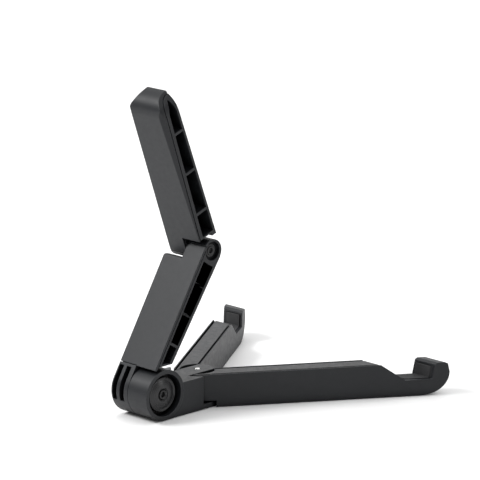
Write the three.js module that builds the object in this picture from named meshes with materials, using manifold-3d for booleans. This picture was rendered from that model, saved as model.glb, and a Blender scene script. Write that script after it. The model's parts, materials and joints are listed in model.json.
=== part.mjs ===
// Folding tablet stand: a hub with two swivelling legs and a two-part folding arm.
// Millimetres, +Z up. The origin is on the table under the leg pin, +Y points to the
// leg tips and +X to the right. The object is drawn open, as it holds a tablet.
import * as THREE from 'three';
import { mergeVertices } from 'three/addons/utils/BufferGeometryUtils.js';
import Module from 'manifold-3d';

const wasm = await Module();
wasm.setup();

// ---------------------------------------------------------------- driving dimensions
const RAD = Math.PI / 180;
const GAP = 0.3;                 // gap between neighbouring pieces
const FOOT = 0.4;                // how far the rubber feet stand proud of the mouldings
const BODY_TOP = FOOT + 17.3;    // top of the hub and of the legs
const HALF = 12.7;               // half width of the hub

const BARREL_R = 13.2;           // hinge barrel of hub and lower arm
const AXLE_Y = -35.4;            // axle of the barrel, behind the leg pin
const AXLE_Z = FOOT + BARREL_R;
const SEAM_X = -0.9;             // split between the two knuckles of the barrel
const RIM = 0.4;                 // rim of the barrel stands proud of the hub side
const CUP_R = 11.1;              // round recess in the right end of the barrel
const CUP_DEPTH = 5.2;
const CUP_FLOOR = HALF + RIM - CUP_DEPTH;
const DISC_FACE = HALF + RIM - 2.0; // rim of the disc in that recess

const LEG_SPLAY = 33.6;          // each leg opens this far from straight ahead
const LEG_W = 12;                // width of one leg
const LEG_IN = 0.15;             // inner face of a closed leg, from the middle plane
const LEG_OUT = LEG_IN + LEG_W;
const LEG_RIM = 0.6;             // thin rim along both edges of a leg's top
const LEG_STRIP = 1.7;           // its cover strip lies this far in, beyond an open groove
const RAMP_TOP_Y = 72.1;         // the top face ends here and the ramp goes down
const REST_Y = 82.7;             // foot of the ramp, where the tablet's edge stands
const REST_Z = FOOT + 8.5;
const LIP_Y = 94.8;              // inner face of the upturned lip
const TIP_Y = 102.5;             // foremost point of a leg
const TIP_R = 12;                // round underside of the tip

const PAD_TOP = FOOT + 14.8;       // upper end of the rubber pad on the lip
const PAD_PROUD = 0.4;           // how far rubber pads stand out of their seats
const REACH = 130;               // longer than any leg, for cutting blocks

const PIN_R = 1.6;               // leg pin
const AXLE_R = 2.5;              // shank of the barrel's rivet
const ELBOW_PIN_R = 1.9;         // shank of the elbow's rivet
const LOBE_R = 8.8;              // round end of the hub's top plate over the leg pin
const ROOT_IN = LOBE_R + 0.4;    // legs start outside the lobe
const ROOT_OUT = 12.3;           // heel of a leg, about the pin
const CHAMBER_R = 13.9;          // space in the hub that the heels swing in
const STEP_R = 14.4;             // a leg has its full depth outside this radius
const CHEEK_END = -7.9;          // front end of the hub's side walls
const PLATE_Z = FOOT + 2.5;      // top face of the hub's bottom plate
const ROOF_Z = BODY_TOP - 2.5;   // underside of the hub's top plate
const TONGUE = 5.8;              // half width of the tongue on the roof that ends in the lobe
const LOW_KNUCKLE = [PLATE_Z + 0.9, 8.7];
const HIGH_KNUCKLE = [9.7, 14.1];
const KNUCKLE_R = 8.6;

const ARM_HALF = 12.9;           // half width of the arm
const TOP_HALF = 12.6;           // half width of the upper arm
const ELBOW_R = 6.0;             // knuckles of the elbow
const LOW_LEAN = 31.35;          // lower arm leans forward
const TOP_LEAN = 20.7;           // upper arm leans back
const LOW_TAPER = 2.88;          // angle between front and back face of the lower arm
const LOW_FRONT = -4.43;         // front face of the lower arm, level with the axle
const ELBOW_UP = 76.9;           // elbow pivot, along the lower arm
const COVER = 1.3;               // thickness of the arms' and legs' cover plates
const SEAM = 0.4;                // open groove round a cover plate
const FLANGE = 1.2;              // back flange of an arm, under its cover
const WEB = 1.0;                 // half thickness of an arm's middle web
const GROOVE_END = 231;          // the knuckle's grooves end here, round from the front of the arm
const ROOT_CLEAR = 15.4;         // the lower arm's right half stays outside this radius of the axle
const CORNER_R = 1.8;            // round left top corner of the lower arm
const LOW_END = 69.3;            // left half of the lower arm ends here, under the upper arm's knuckle
const LOW_RIBS = [24.7, 41.4, 58.1];
const TOP_RIBS = [23, 46.2, 69];
const RIB = 0.65;                // half thickness of a rib
const ARM_TIP = 90.1;            // nose of the upper arm, from the elbow

// ---------------------------------------------------------------- solid helpers
function solid(geometry) {
  const bare = geometry.clone();
  bare.deleteAttribute('normal');
  bare.deleteAttribute('uv');
  const merged = mergeVertices(bare, 1e-4);
  return new wasm.Manifold(new wasm.Mesh({
    numProp: 3,
    vertProperties: new Float32Array(merged.attributes.position.array),
    triVerts: new Uint32Array(merged.index.array),
  }));
}

function geometryOf(body) {
  const mesh = body.getMesh();
  const geometry = new THREE.BufferGeometry();
  geometry.setAttribute('position', new THREE.BufferAttribute(new Float32Array(mesh.vertProperties), 3));
  geometry.setIndex(new THREE.BufferAttribute(new Uint32Array(mesh.triVerts), 1));
  geometry.computeVertexNormals();
  return geometry;
}

function outline(points) {
  return new THREE.Shape(points.map(([x, y]) => new THREE.Vector2(x, y)));
}

// a plan outline in X and Y, raised from one height to another
function raise(shape, z0, z1, curveSegments = 12) {
  const g = new THREE.ExtrudeGeometry(shape, { depth: z1 - z0, bevelEnabled: false, curveSegments });
  g.translate(0, 0, z0);
  return solid(g);
}

// a side outline in Y and Z, stretched from one X to another
function span(shape, x0, x1, curveSegments = 12) {
  const g = new THREE.ExtrudeGeometry(shape, { depth: x1 - x0, bevelEnabled: false, curveSegments });
  const toSide = new THREE.Matrix4().makeBasis(
    new THREE.Vector3(0, 1, 0), new THREE.Vector3(0, 0, 1), new THREE.Vector3(1, 0, 0));
  g.applyMatrix4(toSide);
  g.translate(x0, 0, 0);
  return solid(g);
}

// a plan outline in X and Z, stretched from one Y to another
function through(shape, y0, y1) {
  const g = new THREE.ExtrudeGeometry(shape, { depth: y1 - y0, bevelEnabled: false });
  const toBack = new THREE.Matrix4().makeBasis(
    new THREE.Vector3(1, 0, 0), new THREE.Vector3(0, 0, 1), new THREE.Vector3(0, -1, 0));
  g.applyMatrix4(toBack);
  g.translate(0, y1, 0);
  return solid(g);
}

function box(x0, x1, y0, y1, z0, z1) {
  const g = new THREE.BoxGeometry(x1 - x0, y1 - y0, z1 - z0);
  g.translate((x0 + x1) / 2, (y0 + y1) / 2, (z0 + z1) / 2);
  return solid(g);
}

// a round bar along X, through the point (y, z)
function barX(r, x0, x1, y = 0, z = 0, segments = 48) {
  const g = new THREE.CylinderGeometry(r, r, x1 - x0, segments);
  g.rotateZ(-Math.PI / 2);
  g.translate((x0 + x1) / 2, y, z);
  return solid(g);
}

// a round bar along Z, through the point (0, 0)
function barZ(r, z0, z1, segments = 48) {
  const g = new THREE.CylinderGeometry(r, r, z1 - z0, segments);
  g.rotateX(Math.PI / 2);
  g.translate(0, 0, (z0 + z1) / 2);
  return solid(g);
}

// a turned piece about the X axis; the profile is a list of [x, radius]
function turnX(profile, segments = 48) {
  const g = new THREE.LatheGeometry(profile.map(([x, r]) => new THREE.Vector2(r, x)), segments);
  g.rotateZ(-Math.PI / 2);
  return solid(g);
}

function turnZ(profile, segments = 32) {
  const g = new THREE.LatheGeometry(profile.map(([z, r]) => new THREE.Vector2(r, z)), segments);
  g.rotateX(Math.PI / 2);
  return solid(g);
}

function arc(cx, cy, r, from, to, steps) {
  const points = [];
  for (let i = 0; i <= steps; i += 1) {
    const a = (from + (to - from) * i / steps) * RAD;
    points.push([cx + r * Math.cos(a), cy + r * Math.sin(a)]);
  }
  return points;
}

// ---------------------------------------------------------------- materials
function plastic(color = 0x3a3b3d) {
  return new THREE.MeshStandardMaterial({ color, roughness: 0.5, metalness: 0 });
}

function steel() {
  return new THREE.MeshStandardMaterial({ color: 0xc9cbcd, roughness: 0.3, metalness: 1 });
}

function blackSteel() {
  return new THREE.MeshStandardMaterial({ color: 0x2a2a2c, roughness: 0.35, metalness: 0.8 });
}

function nylon() {
  return new THREE.MeshStandardMaterial({ color: 0xd8d4c6, roughness: 0.6, metalness: 0 });
}

function rubber() {
  return new THREE.MeshStandardMaterial({ color: 0x161617, roughness: 0.85, metalness: 0 });
}

function piece(name, body, material) {
  const mesh = new THREE.Mesh(geometryOf(body), material);
  mesh.name = name;
  return mesh;
}

// ---------------------------------------------------------------- hub
function hubBlock() {
  // side walls, floor and roof in one block, ahead of the barrel
  const barrel = barX(BARREL_R, SEAM_X + GAP / 2, HALF + RIM, AXLE_Y, AXLE_Z, 64);
  const right = box(SEAM_X + GAP / 2, HALF, AXLE_Y + 1.6, CHEEK_END, FOOT, BODY_TOP);
  const left = box(-HALF, SEAM_X + GAP / 2 + 1, AXLE_Y + 9, CHEEK_END, FOOT, BODY_TOP);
  const noseShape = outline([[-HALF, CHEEK_END - 2], ...arc(0, 0, HALF, 180, 0, 24), [HALF, CHEEK_END - 2]]);
  const nose = raise(noseShape, FOOT, PLATE_Z);
  const lobe = barZ(LOBE_R, ROOF_Z, BODY_TOP, 64)
    .add(box(-TONGUE, TONGUE, -CHAMBER_R - 1, 0, ROOF_Z, BODY_TOP))
    .intersect(box(-TONGUE, TONGUE, -CHAMBER_R - 2, LOBE_R + 1, ROOF_Z - 1, BODY_TOP + 1));

  const armKnuckle = barX(BARREL_R + GAP, -HALF - 1, SEAM_X + GAP / 2, AXLE_Y, AXLE_Z, 64);
  const swing = barZ(CHAMBER_R, PLATE_Z, BODY_TOP + 1, 64);
  const front = box(-HALF - 1, HALF + 1, CHEEK_END, CHAMBER_R + 1, PLATE_Z, BODY_TOP + 1);
  const cup = barX(CUP_R, CUP_FLOOR, HALF + RIM + 1, AXLE_Y, AXLE_Z);
  const bore = barX(AXLE_R + GAP, SEAM_X - 1, HALF, AXLE_Y, AXLE_Z, 24);
  const pinBore = barZ(PIN_R + GAP, FOOT - 1, BODY_TOP + 1, 24);
  const padSeat = barZ(6.2, 0, FOOT + 1);
  const core = box(-9, 9, -21.4, -15.6, 0, BODY_TOP - 3);

  return barrel.add(right).add(left)
    .subtract(armKnuckle).subtract(swing).subtract(front)
    .add(nose).add(lobe)
    .subtract(cup).subtract(bore).subtract(pinBore).subtract(padSeat).subtract(core);
}

// disc in the end of the barrel: a raised rim, a groove and a low cone up to the rivet
function hingeDisc() {
  const back = CUP_FLOOR + GAP;
  return turnX([
    [back, 2.9], [back, 9.9], [back + 1.1, 9.9], [back + 1.1, 9.2], [DISC_FACE - 0.5, 9.2], [DISC_FACE, 8.8],
    [DISC_FACE, 8.5], [DISC_FACE - 0.5, 8.0], [DISC_FACE, 6.6], [DISC_FACE + 0.4, 5.0],
    [DISC_FACE + 0.6, 3.5], [DISC_FACE + 0.1, 3.3], [DISC_FACE + 0.1, 2.9], [back, 2.9],
  ], 64);
}

// semi-tubular rivet that carries the barrel; its left head lies in the arm's knuckle
function axleRivet() {
  const end = DISC_FACE + 0.8;
  return turnX([
    [-10.3, 0], [-10.3, 4.4], [-9.1, 5.0], [-8.8, 5.0], [-8.8, AXLE_R], [end - 0.3, AXLE_R],
    [end, 2.2], [end, 1.8], [end - 0.5, 1.3], [end - 1.5, 1.1], [end - 1.5, 0],
  ], 32);
}

// pin that both legs turn on, with a small domed head
function legPin() {
  const low = FOOT + 1.2;
  const head = BODY_TOP + 0.3;
  return turnZ([[low, 0], [low, PIN_R], [BODY_TOP, PIN_R], [head, PIN_R - 0.3], [head, 0]], 24);
}

// cap over the rivet's head in the left end of the barrel
function barrelCap() {
  const face = -ARM_HALF + 0.2;
  return turnX([[face, 0], [face, 5.0], [face + 0.5, 5.8], [-11.2, 5.8], [-11.2, 0]], 40);
}

// cone spring washer under the rivet's head
function axleSpringWasher() {
  return turnX([[-8.3, 2.8], [-8.55, 2.8], [-8.3, 5.8], [-8.05, 5.8], [-8.3, 2.8]], 32);
}

function ring(rIn, rOut, x0, x1, segments = 32) {
  return turnX([[x0, rIn], [x0, rOut], [x1, rOut], [x1, rIn], [x0, rIn]], segments);
}

function coneWasher(rIn, rOut, z0, z1, rise) {
  return turnZ([[z0 + rise, rIn], [z0, rOut], [z1, rOut], [z1 + rise, rIn], [z0 + rise, rIn]]);
}

function flatWasher(rIn, rOut, z0, z1) {
  return turnZ([[z0, rIn], [z0, rOut], [z1, rOut], [z1, rIn], [z0, rIn]]);
}

// ---------------------------------------------------------------- lower arm, in its own frame:
// the axle is the origin, +Z runs up the arm and +Y is normal to the back face
const BACK = -BARREL_R;
const FRONT_TAN = Math.tan(LOW_TAPER * RAD);
const ELBOW_Y = BACK + ELBOW_R;

function lowFront(z) {
  return LOW_FRONT + z * FRONT_TAN;
}

// pockets between ribs, open to both sides of an arm and parted by its middle web
function pockets(floors, yBack, yFront) {
  const parts = [];
  for (const [z0, z1] of floors) {
    const shape = outline([[yBack(z0), z0], [yFront(z0), z0], [yFront(z1), z1], [yBack(z1), z1]]);
    parts.push(span(shape, WEB, ARM_HALF + 1));
    parts.push(span(shape, -ARM_HALF - 1, -WEB));
  }
  return parts;
}

function bays(start, ribs, end) {
  const edges = [start, ...ribs, end];
  return edges.slice(1).map((z, i) => [
    i === 0 ? edges[i] : edges[i] + RIB,
    i === ribs.length ? z : z - RIB,
  ]);
}

function lowerArmFrame() {
  const skin = BACK + COVER + SEAM;
  const side = outline([[skin, 11], [lowFront(15.9), 15.9], [lowFront(70), 70], [skin, 70]]);
  const leftRoot = outline([[BACK, 0], [LOW_FRONT, 0], [lowFront(15.9), 15.9], [skin, 15.9], [skin, 8.6],
    [BACK, 8.6]]);
  const knuckle = barX(BARREL_R, -ARM_HALF, SEAM_X - GAP / 2, 0, 0, 64);
  const seat = box(GAP / 2, ARM_HALF, ELBOW_Y, lowFront(69), 66, 70.9);
  const tab = outline([[skin, 68], [lowFront(68), 68], [lowFront(ELBOW_UP), ELBOW_UP], [skin, ELBOW_UP]]);

  let body = span(side, -ARM_HALF, ARM_HALF)
    .add(span(leftRoot, -ARM_HALF, SEAM_X - GAP / 2))
    .add(knuckle)
    .add(seat)
    .add(span(tab, GAP / 2, ARM_HALF))
    .add(barX(ELBOW_R + 0.2, GAP / 2, ARM_HALF, ELBOW_Y + 0.2, ELBOW_UP, 40));

  // room for the hub's knuckle on the right and for the upper arm's knuckle on the left
  body = body
    .subtract(barX(ROOT_CLEAR, SEAM_X - GAP / 2, ARM_HALF + 1, 0, 0, 64))
    .subtract(barX(ELBOW_R + 0.9, -ARM_HALF - 1, GAP / 2, ELBOW_Y, ELBOW_UP, 40))
    .subtract(box(-ARM_HALF - 1, GAP / 2, BACK - 1, ELBOW_Y, LOW_END, ELBOW_UP + 12))
    .subtract(box(-ARM_HALF - 1, GAP / 2, BACK - 1, 4, ELBOW_UP - 4, ELBOW_UP + 12));

  // two deep grooves run round the back of the barrel
  for (const [x0, x1] of [[-12.25, -9.1], [-7.0, -3.7]]) {
    const groove = outline([[BACK - 1, 7.2], [-6.2, 7.2], ...arc(0, 0, 7.4, 150, GROOVE_END, 10),
      ...arc(0, 0, BARREL_R + 1, GROOVE_END, 180, 6)]);
    body = body.subtract(span(groove, x0, x1));
  }

  // ribbed sides
  const hollow = bays(12, LOW_RIBS, 69.9);
  const rootWall = barX(ROOT_CLEAR + 1, -ARM_HALF - 1, ARM_HALF + 1, 0, 0, 64);
  for (const p of pockets(hollow, () => skin + FLANGE, (z) => lowFront(z) - 1.7)) {
    body = body.subtract(p.subtract(rootWall));
  }
  body = body.add(span(kneeWall(), WEB - 0.1, ARM_HALF).subtract(elbowSpace()));

  const leftCup = barX(6.2, -ARM_HALF - 1, -7.9, 0, 0, 40);
  const washerSeat = barX(6.3, SEAM_X - 1.3, SEAM_X + 1, 0, 0, 40);
  const elbowCup = barX(5.0, ARM_HALF - 2.3, ARM_HALF + 1, ELBOW_Y, ELBOW_UP, 40);
  return body
    .subtract(barX(AXLE_R + GAP, -ARM_HALF, 2, 0, 0, 24))
    .subtract(leftCup)
    .subtract(washerSeat)
    .subtract(barX(ELBOW_PIN_R + GAP, -2, ARM_HALF, ELBOW_Y, ELBOW_UP, 24))
    .subtract(elbowCup)
    .subtract(leftCorner())
    .subtract(coverSpace());
}

// curved wall that closes the top pocket under the elbow knuckle
function kneeWall() {
  const out = arc(ELBOW_Y, ELBOW_UP, ELBOW_R + 1.6, 200, 320, 10);
  const back = arc(ELBOW_Y, ELBOW_UP, ELBOW_R - 1, 320, 200, 10);
  return outline([...out, ...back]);
}

function elbowSpace() {
  return box(GAP / 2 - 1, ARM_HALF + 1, BACK - 3, BACK + COVER + SEAM, 60, 90);
}

// the cover lies on the back of the arm and goes round neither knuckle
function coverSpace() {
  const right = box(SEAM_X - GAP / 2, ARM_HALF + 1, BACK - 2, BACK + COVER + SEAM, 8, ELBOW_UP + 0.4);
  const left = box(-ARM_HALF - 1, SEAM_X + 2, BACK - 2, BACK + COVER + SEAM, 8.6, LOW_END + 1);
  return right.add(left);
}

function lowerArmCover() {
  const plan = outline([[-ARM_HALF, 9.0], [SEAM_X, 9.0], [SEAM_X, 8.6], [ARM_HALF, 8.6],
    [ARM_HALF, ELBOW_UP], [GAP, ELBOW_UP], [GAP, LOW_END], [-ARM_HALF, LOW_END]]);
  const roundEnd = outline([[BACK - 1, LOW_END - 1.6], [BACK, LOW_END - 1.6], [BACK + 0.2, LOW_END - 0.8],
    [BACK + 0.6, LOW_END - 0.3], [BACK + 1.2, LOW_END], [BACK + 1.2, LOW_END + 1], [BACK - 1, LOW_END + 1]]);
  return through(plan, BACK, BACK + COVER)
    .subtract(span(roundEnd, -ARM_HALF - 1, GAP))
    .subtract(leftCorner());
}

// rounds off the left top corner of the lower arm
function leftCorner() {
  const cx = -ARM_HALF + CORNER_R;
  const cz = LOW_END - CORNER_R;
  const shape = outline([...arc(cx, cz, CORNER_R, 180, 90, 6), [cx, LOW_END + 1],
    [-ARM_HALF - 1, LOW_END + 1], [-ARM_HALF - 1, cz]]);
  return through(shape, BACK - 1, ELBOW_Y);
}

function elbowRivet() {
  const end = ARM_HALF - 1.1;
  return turnX([
    [-11.6, 0], [-11.6, 3.3], [-10.8, 3.8], [-10.4, 3.8], [-10.4, ELBOW_PIN_R], [end - 0.95, ELBOW_PIN_R],
    [end - 0.9, 3.3], [end - 0.5, 3.3], [end - 0.5, 2.4], [end, 2.2], [end, 1.5],
    [end - 1.2, 1.0], [end - 1.2, 0],
  ], 32);
}

// ---------------------------------------------------------------- upper arm, in its own frame:
// the elbow is the origin, +Z runs up the arm and +Y is normal to the back face
const TOP_BACK = -ELBOW_R;
const TOP_FRONT = ELBOW_R;
const BEND = 80.5;               // the back face curves forward from here to the nose

const NOSE = 10.9;               // the nose lies this far ahead of the back face
const TIP_WALL = 1.5;            // seam round the tip, in from its outside

// centre line of the seam between cover and frame; the cover's side wall grows to the tip
function seam(z) {
  return Math.max(TOP_BACK + 0.8, TOP_BACK + 0.3 + 0.037 * z);
}

// quarter of an ellipse from the back face to the nose, moved in from both
function tipCurve(fromBack, fromNose) {
  const points = [];
  for (let i = 0; i <= 10; i += 1) {
    const a = 90 * i / 10 * RAD;
    points.push([
      TOP_BACK + fromBack + (NOSE - fromBack) * (1 - Math.cos(a)),
      BEND + (ARM_TIP - BEND - fromNose) * Math.sin(a),
    ]);
  }
  return points;
}

// outline of the space inside the cover, or of the frame: one side or the other of the seam
function seamSide(shift, z0, front) {
  const flat = [13.5, BEND].map((z) => [seam(z) + shift, z]);
  const tip = tipCurve(seam(BEND) + shift - TOP_BACK, TIP_WALL + shift);
  return [[seam(z0) + shift, z0], ...flat, ...tip.slice(1), [front, tip[10][1]], [front, z0]];
}

// plan of the upper arm seen along Y: it narrows a little and both corners of the tip are cut
function upperPlan() {
  const right = [[TOP_HALF, -20], [TOP_HALF, 4], [TOP_HALF - 0.4, 79.5], [TOP_HALF - 0.9, 82.8],
    [TOP_HALF - 2.2, 85.6], [6, ARM_TIP + 0.6]];
  const left = right.map(([x, z]) => [-x, z]).reverse();
  return through(outline([...right, ...left]), -20, 20);
}

// slanted cut along a long edge of the cover; it widens from the elbow to the tip
function edgeCut(side) {
  const start = 0.3;
  const slope = 0.03;
  const g = new THREE.BoxGeometry(10, 40, 260);
  g.translate(5, 0, 0);
  const normal = new THREE.Vector3(1, -1, slope).normalize();
  g.applyQuaternion(new THREE.Quaternion().setFromUnitVectors(new THREE.Vector3(1, 0, 0), normal));
  g.translate(TOP_HALF - start / 2, TOP_BACK + start / 2, 10);
  const cut = solid(g);
  return side > 0 ? cut : cut.mirror([1, 0, 0]);
}

function upperBlock() {
  return outline([[TOP_BACK, 8.6], [TOP_BACK, BEND], ...tipCurve(0, 0).slice(1), [TOP_FRONT, ARM_TIP],
    [TOP_FRONT, 8.6]]);
}

function upperArmFrame() {
  const skin = seam(0) + SEAM / 2;
  const frameSide = outline(seamSide(SEAM / 2, 9.2, TOP_FRONT));
  const root = outline([[TOP_FRONT - 3, 10], [TOP_FRONT - 3, 7.4], [TOP_FRONT, 7.4], [TOP_FRONT, 10]]);
  const tongue = outline([[skin, 10], [TOP_FRONT, 10], ...arc(0, 0, ELBOW_R, 0, -170, 20),
    [skin, -ELBOW_R * Math.sin(10 * RAD)]]);

  let body = span(frameSide, -ARM_HALF, ARM_HALF)
    .add(span(root, -ARM_HALF, ARM_HALF))
    .add(span(tongue, -ARM_HALF, -GAP / 2));
  body = body.subtract(barX(ELBOW_R + 1.45, -GAP / 2, ARM_HALF + 1, 0, 0, 40));

  const flange = (z) => seam(z) + 2.1;
  const front = TOP_FRONT - 1.3;
  for (const p of pockets(bays(9.9, TOP_RIBS, 78.4), flange, () => front)) body = body.subtract(p);
  // the last pocket ends in a narrow point
  const point = outline([[flange(78), 78], [-0.6, 80], [0, 82], [1.6, 85], [2.6, 86.6], [3.2, 86.6],
    [front - 0.6, 83.6], [front, 80.5], [front, 78]]);
  body = body.subtract(span(point, WEB, ARM_HALF + 1)).subtract(span(point, -ARM_HALF - 1, -WEB));

  const padSeat = box(-7.3, 7.3, TOP_FRONT - 0.9, TOP_FRONT + 1, 66.7, 86.3);
  return body
    .intersect(upperPlan())
    .subtract(barX(ELBOW_PIN_R + GAP, -ARM_HALF, 1, 0, 0, 24))
    .subtract(barX(4.3, -ARM_HALF - 1, -9.8, 0, 0, 32))
    .subtract(padSeat);
}

function upperArmCover() {
  const inner = outline(seamSide(-SEAM / 2, 0, TOP_FRONT + 1));
  const plate = span(upperBlock(), -ARM_HALF, ARM_HALF).subtract(span(inner, -ARM_HALF - 1, ARM_HALF + 1));
  // the left half reaches down to the tongue and the right half stops above the lower arm
  const tongueEnd = box(-ARM_HALF, -GAP, TOP_BACK, seam(0) - SEAM / 2, -0.7, 9);
  return plate.add(tongueEnd).intersect(upperPlan()).subtract(edgeCut(1)).subtract(edgeCut(-1));
}

// ---------------------------------------------------------------- legs
// Each leg is drawn closed, along +Y from the pin; side is 1 for the right leg and -1 for the left
function mirrored(points, side) {
  return points.map(([x, y]) => [side * x, y]);
}

// the parts of a leg that lie along the tablet's edge are drawn for the open leg and turned back
function fromOpen(body, side) {
  return body.rotate([0, 0, side * LEG_SPLAY]);
}

function rootPlan(side) {
  const heelStart = -Math.acos(LEG_OUT / ROOT_OUT) / RAD;
  const heelEnd = LEG_SPLAY - 64;
  const points = [
    [LEG_IN, 150], [LEG_OUT, 150],
    ...arc(0, 0, ROOT_OUT, heelStart, heelEnd, 6),
    ...arc(0, 0, ROOT_IN - 6, heelEnd, 0, 3),
    [LEG_IN, 2],
  ];
  return outline(mirrored(points, side));
}

// top face of a leg and the ramp down to the rest
function legTopOutline(drop) {
  return [[-20, BODY_TOP - drop], [RAMP_TOP_Y, BODY_TOP - drop], [REST_Y, REST_Z - drop]];
}

function tipSide() {
  const cz = FOOT + TIP_R;
  return outline([[-20, FOOT], ...arc(TIP_Y - TIP_R, cz, TIP_R, -90, 0, 10), [TIP_Y - 0.8, BODY_TOP - 0.9],
    [TIP_Y - 2, BODY_TOP - 0.2], [LIP_Y + 2.2, BODY_TOP - 0.2], [LIP_Y + 1.2, BODY_TOP - 1.2],
    [LIP_Y, REST_Z], ...legTopOutline(0).reverse()]);
}

// the heel of an open leg stops beside the tongue of the hub's roof
function besideTongue(side) {
  return fromOpen(box(-TONGUE - GAP, TONGUE + GAP, -2 * ROOT_OUT, 0, HIGH_KNUCKLE[1], 40), side);
}

function legBody(side) {
  const own = side > 0 ? LOW_KNUCKLE : HIGH_KNUCKLE;
  const prism = fromOpen(span(tipSide(), -REACH, REACH), side);
  const disc = barZ(KNUCKLE_R, own[0], own[1]);
  let body = raise(rootPlan(side), 0, 30).intersect(prism);

  // clear of the hub's floor and roof and of the other leg's knuckle
  body = body
    .subtract(barZ(STEP_R, 0, LOW_KNUCKLE[0], 64))
    .subtract(besideTongue(side))
    .subtract(barZ(ROOT_IN, own[1], BODY_TOP + 1, 48))
    .subtract(barZ(ROOT_IN, 0, own[0], 48));
  body = body.add(disc).subtract(barZ(PIN_R + GAP, 0, 30, 24));

  // underside: open channel with cross ribs
  for (const [y0, y1] of [[14.5, 33], [34.3, 52], [53.3, 71], [72.3, 84]]) {
    body = body.subtract(spanBox(side, LEG_IN + 1.9, LEG_OUT - 1.9, y0, y1, 0, BODY_TOP - 4.2));
  }
  // seat of the top cover, rest pad, lip pad and foot
  const seatSide = outline([[-30, BODY_TOP + 5], [-30, BODY_TOP - COVER - SEAM],
    [RAMP_TOP_Y - 0.6, BODY_TOP - COVER - SEAM], [REST_Y - 1.6, REST_Z - 0.4], [REST_Y - 1.6, BODY_TOP + 5]]);
  const seat = fromOpen(span(seatSide, -REACH, REACH), side)
    .intersect(spanBox(side, LEG_IN + LEG_RIM, LEG_OUT - LEG_RIM, -20, 150, 0, 40));
  const restSeat = fromOpen(span(restShape(GAP), -REACH, REACH), side)
    .intersect(spanBox(side, LEG_IN + 1.5, LEG_OUT - 1.5, 60, 140, 0, 40));
  const footSeat = raise(footPlan(side, 0.3), 0, FOOT + 1);
  return body.subtract(seat).subtract(restSeat).subtract(footSeat);
}

function spanBox(side, x0, x1, y0, y1, z0, z1) {
  return side > 0 ? box(x0, x1, y0, y1, z0, z1) : box(-x1, -x0, y0, y1, z0, z1);
}

function legCover(side) {
  const top = outline([...legTopOutline(0), ...legTopOutline(COVER).reverse()]);
  const strip = fromOpen(span(top, -REACH, REACH), side);
  const bounds = fromOpen(box(-REACH, REACH, -60, REST_Y - 2, 0, 40), side);
  return strip
    .intersect(raise(rootPlan(side), 0, 30))
    .intersect(spanBox(side, LEG_IN + LEG_STRIP, LEG_OUT - LEG_STRIP, -20, 150, 0, 40))
    .intersect(bounds)
    .subtract(barZ(ROOT_IN, 0, 30, 48))
    .subtract(besideTongue(side));
}

// L-shaped rubber pad in the slot: a floor under the tablet's edge and a face on the lip.
// It stands proud of its seat, which is the same shape grown all round
function restShape(grow) {
  const y0 = REST_Y + 1.2 - grow;
  const floor = REST_Z - 1.0 - grow;
  const top = REST_Z + PAD_PROUD;
  const lip = LIP_Y + 1.3 + grow;
  return outline([[y0, floor], [lip, floor], [lip + 0.3, PAD_TOP + grow],
    [LIP_Y - PAD_PROUD + 0.6, PAD_TOP + grow], [LIP_Y - PAD_PROUD, top + grow], [y0, top + grow]]);
}

function restPad(side) {
  return fromOpen(span(restShape(0), -REACH, REACH), side)
    .intersect(spanBox(side, LEG_IN + 1.8, LEG_OUT - 1.8, 60, 140, 0, 40));
}

function footPlan(side, grow) {
  const x0 = LEG_IN + 3.0 - grow;
  const x1 = LEG_OUT - 3.0 + grow;
  return outline(mirrored([[x0, 88 - grow], [x1, 88 - grow], [x1, 104 + grow], [x0, 104 + grow]], side));
}

// ---------------------------------------------------------------- assembly
const stand = new THREE.Group();

const hub = new THREE.Group();
hub.add(piece('hub_block', hubBlock(), plastic()));
const disc = piece('hinge_disc', hingeDisc(), blackSteel());
disc.position.set(0, AXLE_Y, AXLE_Z);
hub.add(disc);
const axle = piece('axle_rivet', axleRivet(), blackSteel());
axle.position.set(0, AXLE_Y, AXLE_Z);
hub.add(axle);
hub.add(piece('leg_pin', legPin(), steel()));
hub.add(piece('hub_foot', barZ(5.9, 0, FOOT + 0.7, 40), rubber()));
hub.add(piece('leg_washer', flatWasher(PIN_R + GAP, 7.5, 9.0, 9.4), nylon()));
hub.add(piece('leg_spring_washer', coneWasher(PIN_R + GAP, 6.0, 14.35, 14.6, 0.25), steel()));
stand.add(hub);

const lowerArm = new THREE.Group();
lowerArm.position.set(0, AXLE_Y, AXLE_Z);
lowerArm.rotation.x = -LOW_LEAN * RAD;
lowerArm.add(piece('lower_arm_frame', lowerArmFrame(), plastic()));
lowerArm.add(piece('lower_arm_cover', lowerArmCover(), plastic()));
lowerArm.add(piece('barrel_cap', barrelCap(), plastic()));
lowerArm.add(piece('axle_spring_washer', axleSpringWasher(), steel()));
lowerArm.add(piece('axle_washer', ring(2.8, 6.0, SEAM_X - 1.0, SEAM_X - 0.3, 32), nylon()));
stand.add(lowerArm);

const elbow = new THREE.Group();
elbow.position.set(0, ELBOW_Y, ELBOW_UP);
lowerArm.add(elbow);
elbow.add(piece('elbow_rivet', elbowRivet(), blackSteel()));

const upperArm = new THREE.Group();
upperArm.rotation.x = (LOW_LEAN + TOP_LEAN) * RAD;
elbow.add(upperArm);
upperArm.add(piece('upper_arm_frame', upperArmFrame(), plastic()));
upperArm.add(piece('upper_arm_cover', upperArmCover(), plastic()));
upperArm.add(piece('upper_arm_pad', box(-7, 7, TOP_FRONT - 0.6, TOP_FRONT + 0.8, 67, 86), rubber()));

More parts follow.
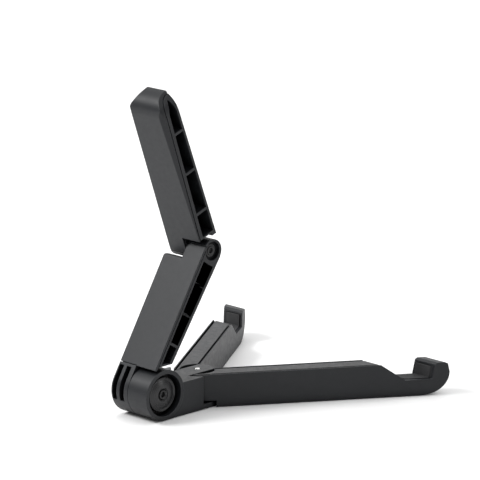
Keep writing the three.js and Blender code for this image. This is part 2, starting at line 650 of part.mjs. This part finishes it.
for (const [name, side] of [['right', 1], ['left', -1]]) {
  const leg = new THREE.Group();
  leg.rotation.z = -side * LEG_SPLAY * RAD;
  leg.add(piece(`${name}_leg`, legBody(side), plastic()));
  leg.add(piece(`${name}_leg_cover`, legCover(side), plastic()));
  leg.add(piece(`${name}_rest_pad`, restPad(side), rubber()));
  leg.add(piece(`${name}_leg_foot`, raise(footPlan(side, 0), 0, FOOT + 0.7), rubber()));
  stand.add(leg);
}

export default stand;
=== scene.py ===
import json
import math

import bpy
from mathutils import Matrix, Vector

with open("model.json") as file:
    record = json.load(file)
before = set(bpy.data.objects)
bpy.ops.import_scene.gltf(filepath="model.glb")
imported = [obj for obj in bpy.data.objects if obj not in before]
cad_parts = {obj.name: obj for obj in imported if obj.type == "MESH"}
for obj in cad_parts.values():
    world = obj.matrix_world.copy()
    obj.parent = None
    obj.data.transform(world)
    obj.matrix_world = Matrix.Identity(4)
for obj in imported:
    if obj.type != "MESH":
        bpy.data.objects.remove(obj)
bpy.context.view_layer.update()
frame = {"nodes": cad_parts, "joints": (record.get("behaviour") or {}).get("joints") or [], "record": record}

# Places and sizes are in metres, unless a name says millimetres.
MM = 0.001

# ---------------------------------------------------------------- camera
CAMERA_AT = (1.2844, -1.2397, 0.5369)
CAMERA_AZIMUTH_DEG = 45.31
CAMERA_ELEVATION_DEG = 14.17
LENS_MM = 270
SENSOR_MM = 36
CLIP_NEAR = 0.05
CLIP_FAR = 50


def add_camera():
    azimuth = math.radians(CAMERA_AZIMUTH_DEG)
    elevation = math.radians(CAMERA_ELEVATION_DEG)
    ahead = Vector((
        -math.sin(azimuth) * math.cos(elevation),
        math.cos(azimuth) * math.cos(elevation),
        -math.sin(elevation),
    ))
    data = bpy.data.cameras.new("camera")
    data.lens = LENS_MM
    data.sensor_width = SENSOR_MM
    data.clip_start = CLIP_NEAR
    data.clip_end = CLIP_FAR
    camera = bpy.data.objects.new("camera", data)
    camera.location = CAMERA_AT
    camera.rotation_euler = ahead.to_track_quat("-Z", "Y").to_euler()
    bpy.context.scene.collection.objects.link(camera)
    bpy.context.scene.camera = camera


# ---------------------------------------------------------------- floor
FLOOR_SIZE = 12
FLOOR_COLOUR = (0.86, 0.86, 0.86)
FLOOR_ROUGHNESS = 0.7
FLOOR_SPECULAR = 0.2


def add_floor():
    bpy.ops.mesh.primitive_plane_add(size=FLOOR_SIZE, location=(0, 0, 0))
    floor = bpy.context.object
    floor.name = "floor"
    material = bpy.data.materials.new("floor")
    material.use_nodes = True
    shader = material.node_tree.nodes["Principled BSDF"]
    shader.inputs["Base Color"].default_value = (*FLOOR_COLOUR, 1)
    shader.inputs["Roughness"].default_value = FLOOR_ROUGHNESS
    shader.inputs["Specular IOR Level"].default_value = FLOOR_SPECULAR
    floor.data.materials.append(material)


# ---------------------------------------------------------------- world
DOME_LOW = 0.12                  # the world's strength near the horizon
DOME_HIGH = 1.2                  # and overhead
DOME_STARTS = 0.1                # height of the view direction where the strength starts to rise
DOME_ENDS = 0.9                  # and where it stops


def add_world():
    """A studio that is bright overhead and dim at the level of the table."""
    world = bpy.data.worlds.new("studio")
    world.use_nodes = True
    tree = world.node_tree
    place = tree.nodes.new("ShaderNodeTexCoord")
    parts = tree.nodes.new("ShaderNodeSeparateXYZ")
    tree.links.new(place.outputs["Generated"], parts.inputs["Vector"])
    dome = tree.nodes.new("ShaderNodeMapRange")
    dome.inputs["From Min"].default_value = DOME_STARTS
    dome.inputs["From Max"].default_value = DOME_ENDS
    dome.inputs["To Min"].default_value = DOME_LOW
    dome.inputs["To Max"].default_value = DOME_HIGH
    tree.links.new(parts.outputs["Z"], dome.inputs["Value"])
    back = tree.nodes["Background"]
    back.inputs["Color"].default_value = (1, 1, 1, 1)
    tree.links.new(dome.outputs["Result"], back.inputs["Strength"])
    bpy.context.scene.world = world


# ---------------------------------------------------------------- lights
MIDDLE = (0, 0, 0.06)                   # of the stand
BARREL_END = (0.013, -0.035, 0.014)     # the hub's right end, with the disc in it

# name, place, what it points at, width, height, watts
SOFTBOXES = (
    ("overhead", (-0.2, 0.4, 1.6), MIDDLE, 1.4, 1.2, 5),
    ("left_wall", (-0.7, -0.95, 1.1), MIDDLE, 0.6, 0.5, 20),
    ("back_strip", (-1.0, 1.05, 0.55), MIDDLE, 1.2, 0.4, 2.5),
    ("ring_glint", (1.3, 0.9, 0.3), BARREL_END, 0.15, 0.3, 1.5),
)


def add_softbox(name, place, target, width, height, watts):
    data = bpy.data.lights.new(name, "AREA")
    data.shape = "RECTANGLE"
    data.size = width
    data.size_y = height
    data.energy = watts
    light = bpy.data.objects.new(name, data)
    light.location = place
    light.rotation_euler = (Vector(target) - Vector(place)).to_track_quat("-Z", "Y").to_euler()
    bpy.context.scene.collection.objects.link(light)


# ---------------------------------------------------------------- node helpers
# a Mix node's colour sockets share their names with its other sockets, so they go by number
MIX_A = 6
MIX_B = 7
MIX_RESULT = 2

MID_NOISE = (0.3, 0.7)           # most of a noise's values lie between these


def shade(colour, factor, lift=0.0):
    """A colour made darker or lighter, and lifted towards grey."""
    return tuple(c * factor + lift for c in colour)


class Nodes:
    """A material's node tree, with a short way to add a node and join it up."""

    def __init__(self, name):
        self.material = bpy.data.materials.new(name)
        self.material.use_nodes = True
        self.tree = self.material.node_tree
        self.shader = self.tree.nodes["Principled BSDF"]
        self.place = self.add("ShaderNodeTexCoord").outputs["Object"]

    def put(self, value, socket):
        """Join an output to a socket, or set the socket to a plain value."""
        if isinstance(value, bpy.types.NodeSocket):
            self.tree.links.new(value, socket)
        else:
            socket.default_value = value

    def add(self, kind, sockets=None, **settings):
        node = self.tree.nodes.new(kind)
        for key, value in settings.items():
            setattr(node, key, value)
        for key, value in (sockets or {}).items():
            self.put(value, node.inputs[key])
        return node

    def feed(self, value, name):
        self.put(value, self.shader.inputs[name])

    def noise(self, scale, detail, roughness=0.55):
        """Noise over the object, in features per metre."""
        return self.add(
            "ShaderNodeTexNoise",
            {"Vector": self.place, "Scale": scale, "Detail": detail, "Roughness": roughness},
        ).outputs["Fac"]

    def remap(self, value, span, to=(0, 1)):
        """A value that runs over span, made to run over another."""
        node = self.add("ShaderNodeMapRange", {
            "Value": value, "From Min": span[0], "From Max": span[1], "To Min": to[0], "To Max": to[1],
        })
        return node.outputs["Result"]

    def mix(self, factor, a, b):
        """Colour a where factor is 0, and colour b where it's 1."""
        node = self.add("ShaderNodeMix", {"Factor": factor}, data_type="RGBA")
        for colour, socket in ((a, node.inputs[MIX_A]), (b, node.inputs[MIX_B])):
            self.put((*colour, 1) if isinstance(colour, tuple) else colour, socket)
        return node.outputs[MIX_RESULT]

    def maths(self, operation, a, b):
        return self.add("ShaderNodeMath", {0: a, 1: b}, operation=operation).outputs["Value"]

    def relief(self, height, strength, depth_mm, **normal):
        """Bump from a height, laid over a rounded normal where one is given as Normal."""
        bump = self.add("ShaderNodeBump", {
            "Height": height, "Strength": strength, "Distance": depth_mm * MM, **normal,
        })
        self.feed(bump.outputs["Normal"], "Normal")


# ---------------------------------------------------------------- what the finishes share
EDGE_SAMPLES = 6
EDGE_SPAN = (0.99, 0.85)         # cosine of a rounded normal's lean: off an edge, fully on it
POCKET_SAMPLES = 8
POCKET_SPAN = (0.25, 0.75)       # share of the view that is open: deep in a pocket, on a face
WAVE_LENGTH = 0.314              # of Blender's wave texture at scale 1
RING_WOBBLE = 0.4


def rounded_normal(n, width_mm):
    """The surface's normal, eased round its edges."""
    bevel = n.add("ShaderNodeBevel", {"Radius": width_mm * MM}, samples=EDGE_SAMPLES)
    return bevel.outputs["Normal"]


def edge_mask(n, rounded):
    """1 along edges, 0 on flats: how far a rounded normal leans from the surface's own."""
    own = n.add("ShaderNodeNewGeometry").outputs["Normal"]
    lean = n.add("ShaderNodeVectorMath", {0: rounded, 1: own}, operation="DOT_PRODUCT")
    return n.remap(lean.outputs["Value"], EDGE_SPAN)


def pocket_shade_mask(n, reach_mm):
    """1 on open faces, 0 deep in pockets and grooves, where the colour and reflection are painted darker as
    shade.
    """
    occlusion = n.add(
        "ShaderNodeAmbientOcclusion", {"Distance": reach_mm * MM}, samples=POCKET_SAMPLES,
    )
    return n.remap(occlusion.outputs["AO"], POCKET_SPAN)


def turned_rings(n, joint, spacing_mm):
    """Fine turned rings about a joint's axis, which lies along X."""
    centre = next(j["pos_m"] for j in frame["joints"] if j["name"] == joint)
    place = n.add("ShaderNodeVectorMath", {0: n.place, 1: centre}, operation="SUBTRACT")
    rings = n.add(
        "ShaderNodeTexWave",
        {
            "Vector": place.outputs["Vector"],
            "Scale": WAVE_LENGTH / (spacing_mm * MM),
            "Distortion": RING_WOBBLE,
        },
        wave_type="RINGS", rings_direction="X",
    )
    return rings.outputs["Fac"]


# ---------------------------------------------------------------- body plastic
BODY_COLOUR = (0.0125, 0.0135, 0.0155)
BODY_CLOUD_SPAN = (0.35, 0.65)
BODY_DARK = 0.93
BODY_LIGHT = 1.08
SPECK_SPAN = (0.55, 0.75)
SPECK_AMOUNT = (0, 0.35)
SPECK_LIGHT = 2.1
# the edges are painted lighter in patches: partly wear, partly a painted highlight along the rims
BODY_WEAR_AND_HIGHLIGHT_SPAN = (0.35, 0.7)
BODY_WEAR_AND_HIGHLIGHT_AMOUNT = (0.4, 1)
BODY_WORN_AND_HIGHLIT = (3.5, 0.02)          # factor and lift
BODY_POCKET_MM = 9
# the colour deep in pockets, as a factor of the body's own: painted shade
BODY_POCKET_SHADE = 0.25
# the reflection is painted weaker in pockets, as shade
BODY_SPECULAR = (0.08, 0.3)      # in pockets, on open faces
BODY_UNEVEN_SPAN = (0.7, 1.3)
BODY_ROUGHNESS = (0.36, 0.5)
BODY_EDGE_MM = 0.45


def body_plastic(name):
    """Moulded ABS with the fine matt grain of an eroded mould."""
    n = Nodes(name)
    cloudy = n.noise(scale=16, detail=3)
    patch = n.noise(scale=420, detail=2)
    grain = n.noise(scale=3200, detail=2, roughness=0.6)
    dark = shade(BODY_COLOUR, BODY_DARK)
    light = shade(BODY_COLOUR, BODY_LIGHT)
    base = n.mix(n.remap(cloudy, BODY_CLOUD_SPAN), dark, light)
    base = n.mix(n.remap(grain, SPECK_SPAN, SPECK_AMOUNT), base, shade(BODY_COLOUR, SPECK_LIGHT))
    rounded = rounded_normal(n, BODY_EDGE_MM)
    patchy = n.remap(patch, BODY_WEAR_AND_HIGHLIGHT_SPAN, BODY_WEAR_AND_HIGHLIGHT_AMOUNT)
    # edges painted lighter in patches: partly wear, partly a painted highlight along the rims
    worn_and_highlit = n.maths("MULTIPLY", edge_mask(n, rounded), patchy)
    base = n.mix(worn_and_highlit, base, shade(BODY_COLOUR, *BODY_WORN_AND_HIGHLIT))
    # painted shade: the colour darkened and the reflection weakened deep in pockets and grooves
    lit = pocket_shade_mask(n, BODY_POCKET_MM)
    n.feed(n.mix(lit, shade(BODY_COLOUR, BODY_POCKET_SHADE), base), "Base Color")
    n.feed(n.remap(lit, (0, 1), BODY_SPECULAR), "Specular IOR Level")
    uneven = n.maths("ADD", patch, grain)
    n.feed(n.remap(uneven, BODY_UNEVEN_SPAN, BODY_ROUGHNESS), "Roughness")
    n.relief(grain, strength=0.55, depth_mm=0.03, Normal=rounded)
    return n.material


# ---------------------------------------------------------------- turned plastic
TURNED_COLOUR = (0.011, 0.011, 0.012)
TURNED_DARK = 0.85
TURNED_LIGHT = 1.2
# the edges are painted lighter in patches: partly wear, partly a painted highlight along the rims
TURNED_WEAR_AND_HIGHLIGHT_AMOUNT = (0.5, 1)
TURNED_WORN_AND_HIGHLIT = (6, 0.06)          # factor and lift
TURNED_POCKET_MM = 4
# the colour deep in pockets, as a factor of the turned plastic's own: painted shade
TURNED_POCKET_SHADE = 0.3
# the reflection is painted weaker in pockets, as shade
TURNED_SPECULAR = (0.1, 0.4)     # in pockets, on open faces
TURNED_UNEVEN_SPAN = (0.4, 1.6)
TURNED_ROUGHNESS = (0.25, 0.4)
TURNED_EDGE_MM = 0.3
MARK_HEIGHT = 0.3                # of the handling marks, where the rings' is 1
DISC_RING_MM = 0.9
RIVET_RING_MM = 0.6


def turned_plastic(name, joint, spacing_mm):
    """Polished plastic turned about a joint, with faint handling marks."""
    n = Nodes(name)
    cloudy = n.noise(scale=60, detail=3)
    marks = n.noise(scale=1500, detail=4)
    rings = turned_rings(n, joint, spacing_mm)
    dark = shade(TURNED_COLOUR, TURNED_DARK)
    light = shade(TURNED_COLOUR, TURNED_LIGHT)
    base = n.mix(n.remap(cloudy, MID_NOISE), dark, light)
    rounded = rounded_normal(n, TURNED_EDGE_MM)
    patchy = n.remap(marks, MID_NOISE, TURNED_WEAR_AND_HIGHLIGHT_AMOUNT)
    # edges painted lighter in patches: partly wear, partly a painted highlight along the rims
    worn_and_highlit = n.maths("MULTIPLY", edge_mask(n, rounded), patchy)
    base = n.mix(worn_and_highlit, base, shade(TURNED_COLOUR, *TURNED_WORN_AND_HIGHLIT))
    # painted shade: the colour darkened and the reflection weakened deep in pockets and grooves
    lit = pocket_shade_mask(n, TURNED_POCKET_MM)
    n.feed(n.mix(lit, shade(TURNED_COLOUR, TURNED_POCKET_SHADE), base), "Base Color")
    n.feed(n.remap(lit, (0, 1), TURNED_SPECULAR), "Specular IOR Level")
    uneven = n.maths("ADD", marks, rings)
    n.feed(n.remap(uneven, TURNED_UNEVEN_SPAN, TURNED_ROUGHNESS), "Roughness")
    height = n.maths("ADD", n.maths("MULTIPLY", marks, MARK_HEIGHT), rings)
    n.relief(height, strength=0.4, depth_mm=0.03, Normal=rounded)
    return n.material


# ---------------------------------------------------------------- steel
STEEL_COLOUR = (0.62, 0.62, 0.61)
STEEL_DARK = 0.8
STEEL_ROUGHNESS = (0.19, 0.35)


def bright_steel(name):
    """Zinc-bright pressed steel."""
    n = Nodes(name)
    fine = n.noise(scale=2600, detail=5)
    base = n.mix(n.remap(fine, MID_NOISE), shade(STEEL_COLOUR, STEEL_DARK), STEEL_COLOUR)
    n.feed(base, "Base Color")
    n.feed(1, "Metallic")
    n.feed(n.remap(fine, MID_NOISE, STEEL_ROUGHNESS), "Roughness")
    n.relief(fine, strength=0.2, depth_mm=0.02)
    return n.material


# ---------------------------------------------------------------- rubber
RUBBER_COLOUR = (0.014, 0.014, 0.015)
RUBBER_LIGHT = 1.7
RUBBER_ROUGHNESS = (0.7, 0.9)
RUBBER_EDGE_MM = 0.3
DUST_COLOUR = (0.08, 0.08, 0.08)
DUST_SPAN = (0.4, 0.7)
DUST_AMOUNT = (0.1, 0.5)


def soft_rubber(name):
    """Matt rubber with pores, and dust along its edges."""
    n = Nodes(name)
    cloudy = n.noise(scale=90, detail=3)
    pores = n.noise(scale=5200, detail=3, roughness=0.65)
    base = n.mix(n.remap(cloudy, MID_NOISE), RUBBER_COLOUR, shade(RUBBER_COLOUR, RUBBER_LIGHT))
    rounded = rounded_normal(n, RUBBER_EDGE_MM)
    dusty = n.maths("MULTIPLY", edge_mask(n, rounded), n.remap(pores, DUST_SPAN, DUST_AMOUNT))
    n.feed(n.mix(dusty, base, DUST_COLOUR), "Base Color")
    n.feed(n.remap(pores, MID_NOISE, RUBBER_ROUGHNESS), "Roughness")
    n.relief(pores, strength=0.5, depth_mm=0.04)
    return n.material


# ---------------------------------------------------------------- washer plastic
NYLON_COLOUR = (0.62, 0.6, 0.52)
NYLON_DARK = 0.9
NYLON_ROUGHNESS = (0.45, 0.6)
NYLON_SCATTER = 0.1
NYLON_SCATTER_MM = 1


def nylon(name):
    """Slightly translucent nylon."""
    n = Nodes(name)
    fine = n.noise(scale=1800, detail=3)
    base = n.mix(n.remap(fine, MID_NOISE), shade(NYLON_COLOUR, NYLON_DARK), NYLON_COLOUR)
    n.feed(base, "Base Color")
    n.feed(n.remap(fine, MID_NOISE, NYLON_ROUGHNESS), "Roughness")
    n.feed(NYLON_SCATTER, "Subsurface Weight")
    n.feed((NYLON_SCATTER_MM * MM,) * 3, "Subsurface Radius")
    return n.material


# ---------------------------------------------------------------- rounded edges
ROUNDING_MM = {
    "hub_block": 0.35,
    "lower_arm_frame": 0.3,
    "upper_arm_frame": 0.3,
    "lower_arm_cover": 0.4,
    "upper_arm_cover": 0.35,
    "right_leg": 0.35,
    "left_leg": 0.35,
    "right_leg_cover": 0.3,
    "left_leg_cover": 0.3,
}
SMALL_ROUNDING_MM = 0.12         # on every other node
ROUNDING_SEGMENTS = 3
WELD_MM = 0.002
FLAT_DEG = 0.6                   # faces that meet at less than this are one flat
SHARP_DEG = 24                   # faces that meet at more than this have an edge to round


def round_edges(node, radius_mm):
    """Flat stretches become single faces, and then each sharp edge gets a small radius."""
    weld = node.modifiers.new("weld", "WELD")
    weld.merge_threshold = WELD_MM * MM
    flat = node.modifiers.new("flat", "DECIMATE")
    flat.decimate_type = "DISSOLVE"
    flat.angle_limit = math.radians(FLAT_DEG)
    bevel = node.modifiers.new("bevel", "BEVEL")
    bevel.limit_method = "ANGLE"
    bevel.angle_limit = math.radians(SHARP_DEG)
    bevel.width = radius_mm * MM
    bevel.segments = ROUNDING_SEGMENTS
    bevel.use_clamp_overlap = True
    bevel.miter_outer = "MITER_ARC"
    # without this the long flats shade as if they were domed
    normals = node.modifiers.new("normals", "WEIGHTED_NORMAL")
    normals.mode = "FACE_AREA"
    normals.keep_sharp = True


# ---------------------------------------------------------------- the CAD nodes' finish
def make_materials():
    """One material for each slot of the record, and the elbow rivet's own."""
    return {
        "body_plastic": body_plastic("body_plastic"),
        "disc": turned_plastic("disc", "arm_hinge", DISC_RING_MM),
        "elbow_rivet": turned_plastic("elbow_rivet", "elbow_hinge", RIVET_RING_MM),
        "steel": bright_steel("steel"),
        "washer_plastic": nylon("washer_plastic"),
        "rubber": soft_rubber("rubber"),
    }


def finish_nodes(materials):
    """A node takes the material of its own name, or else its slot's."""
    slots = {s["node"]: s["material_slot"] for s in frame["record"]["subparts"]}
    for name, node in frame["nodes"].items():
        node.data.materials.clear()
        node.data.materials.append(materials.get(name, materials[slots[name]]))
        for polygon in node.data.polygons:
            polygon.use_smooth = True
        round_edges(node, ROUNDING_MM.get(name, SMALL_ROUNDING_MM))


# ---------------------------------------------------------------- assembly
bpy.context.scene.view_settings.view_transform = "Standard"
add_camera()
add_floor()
add_world()
for softbox in SOFTBOXES:
    add_softbox(*softbox)
finish_nodes(make_materials())
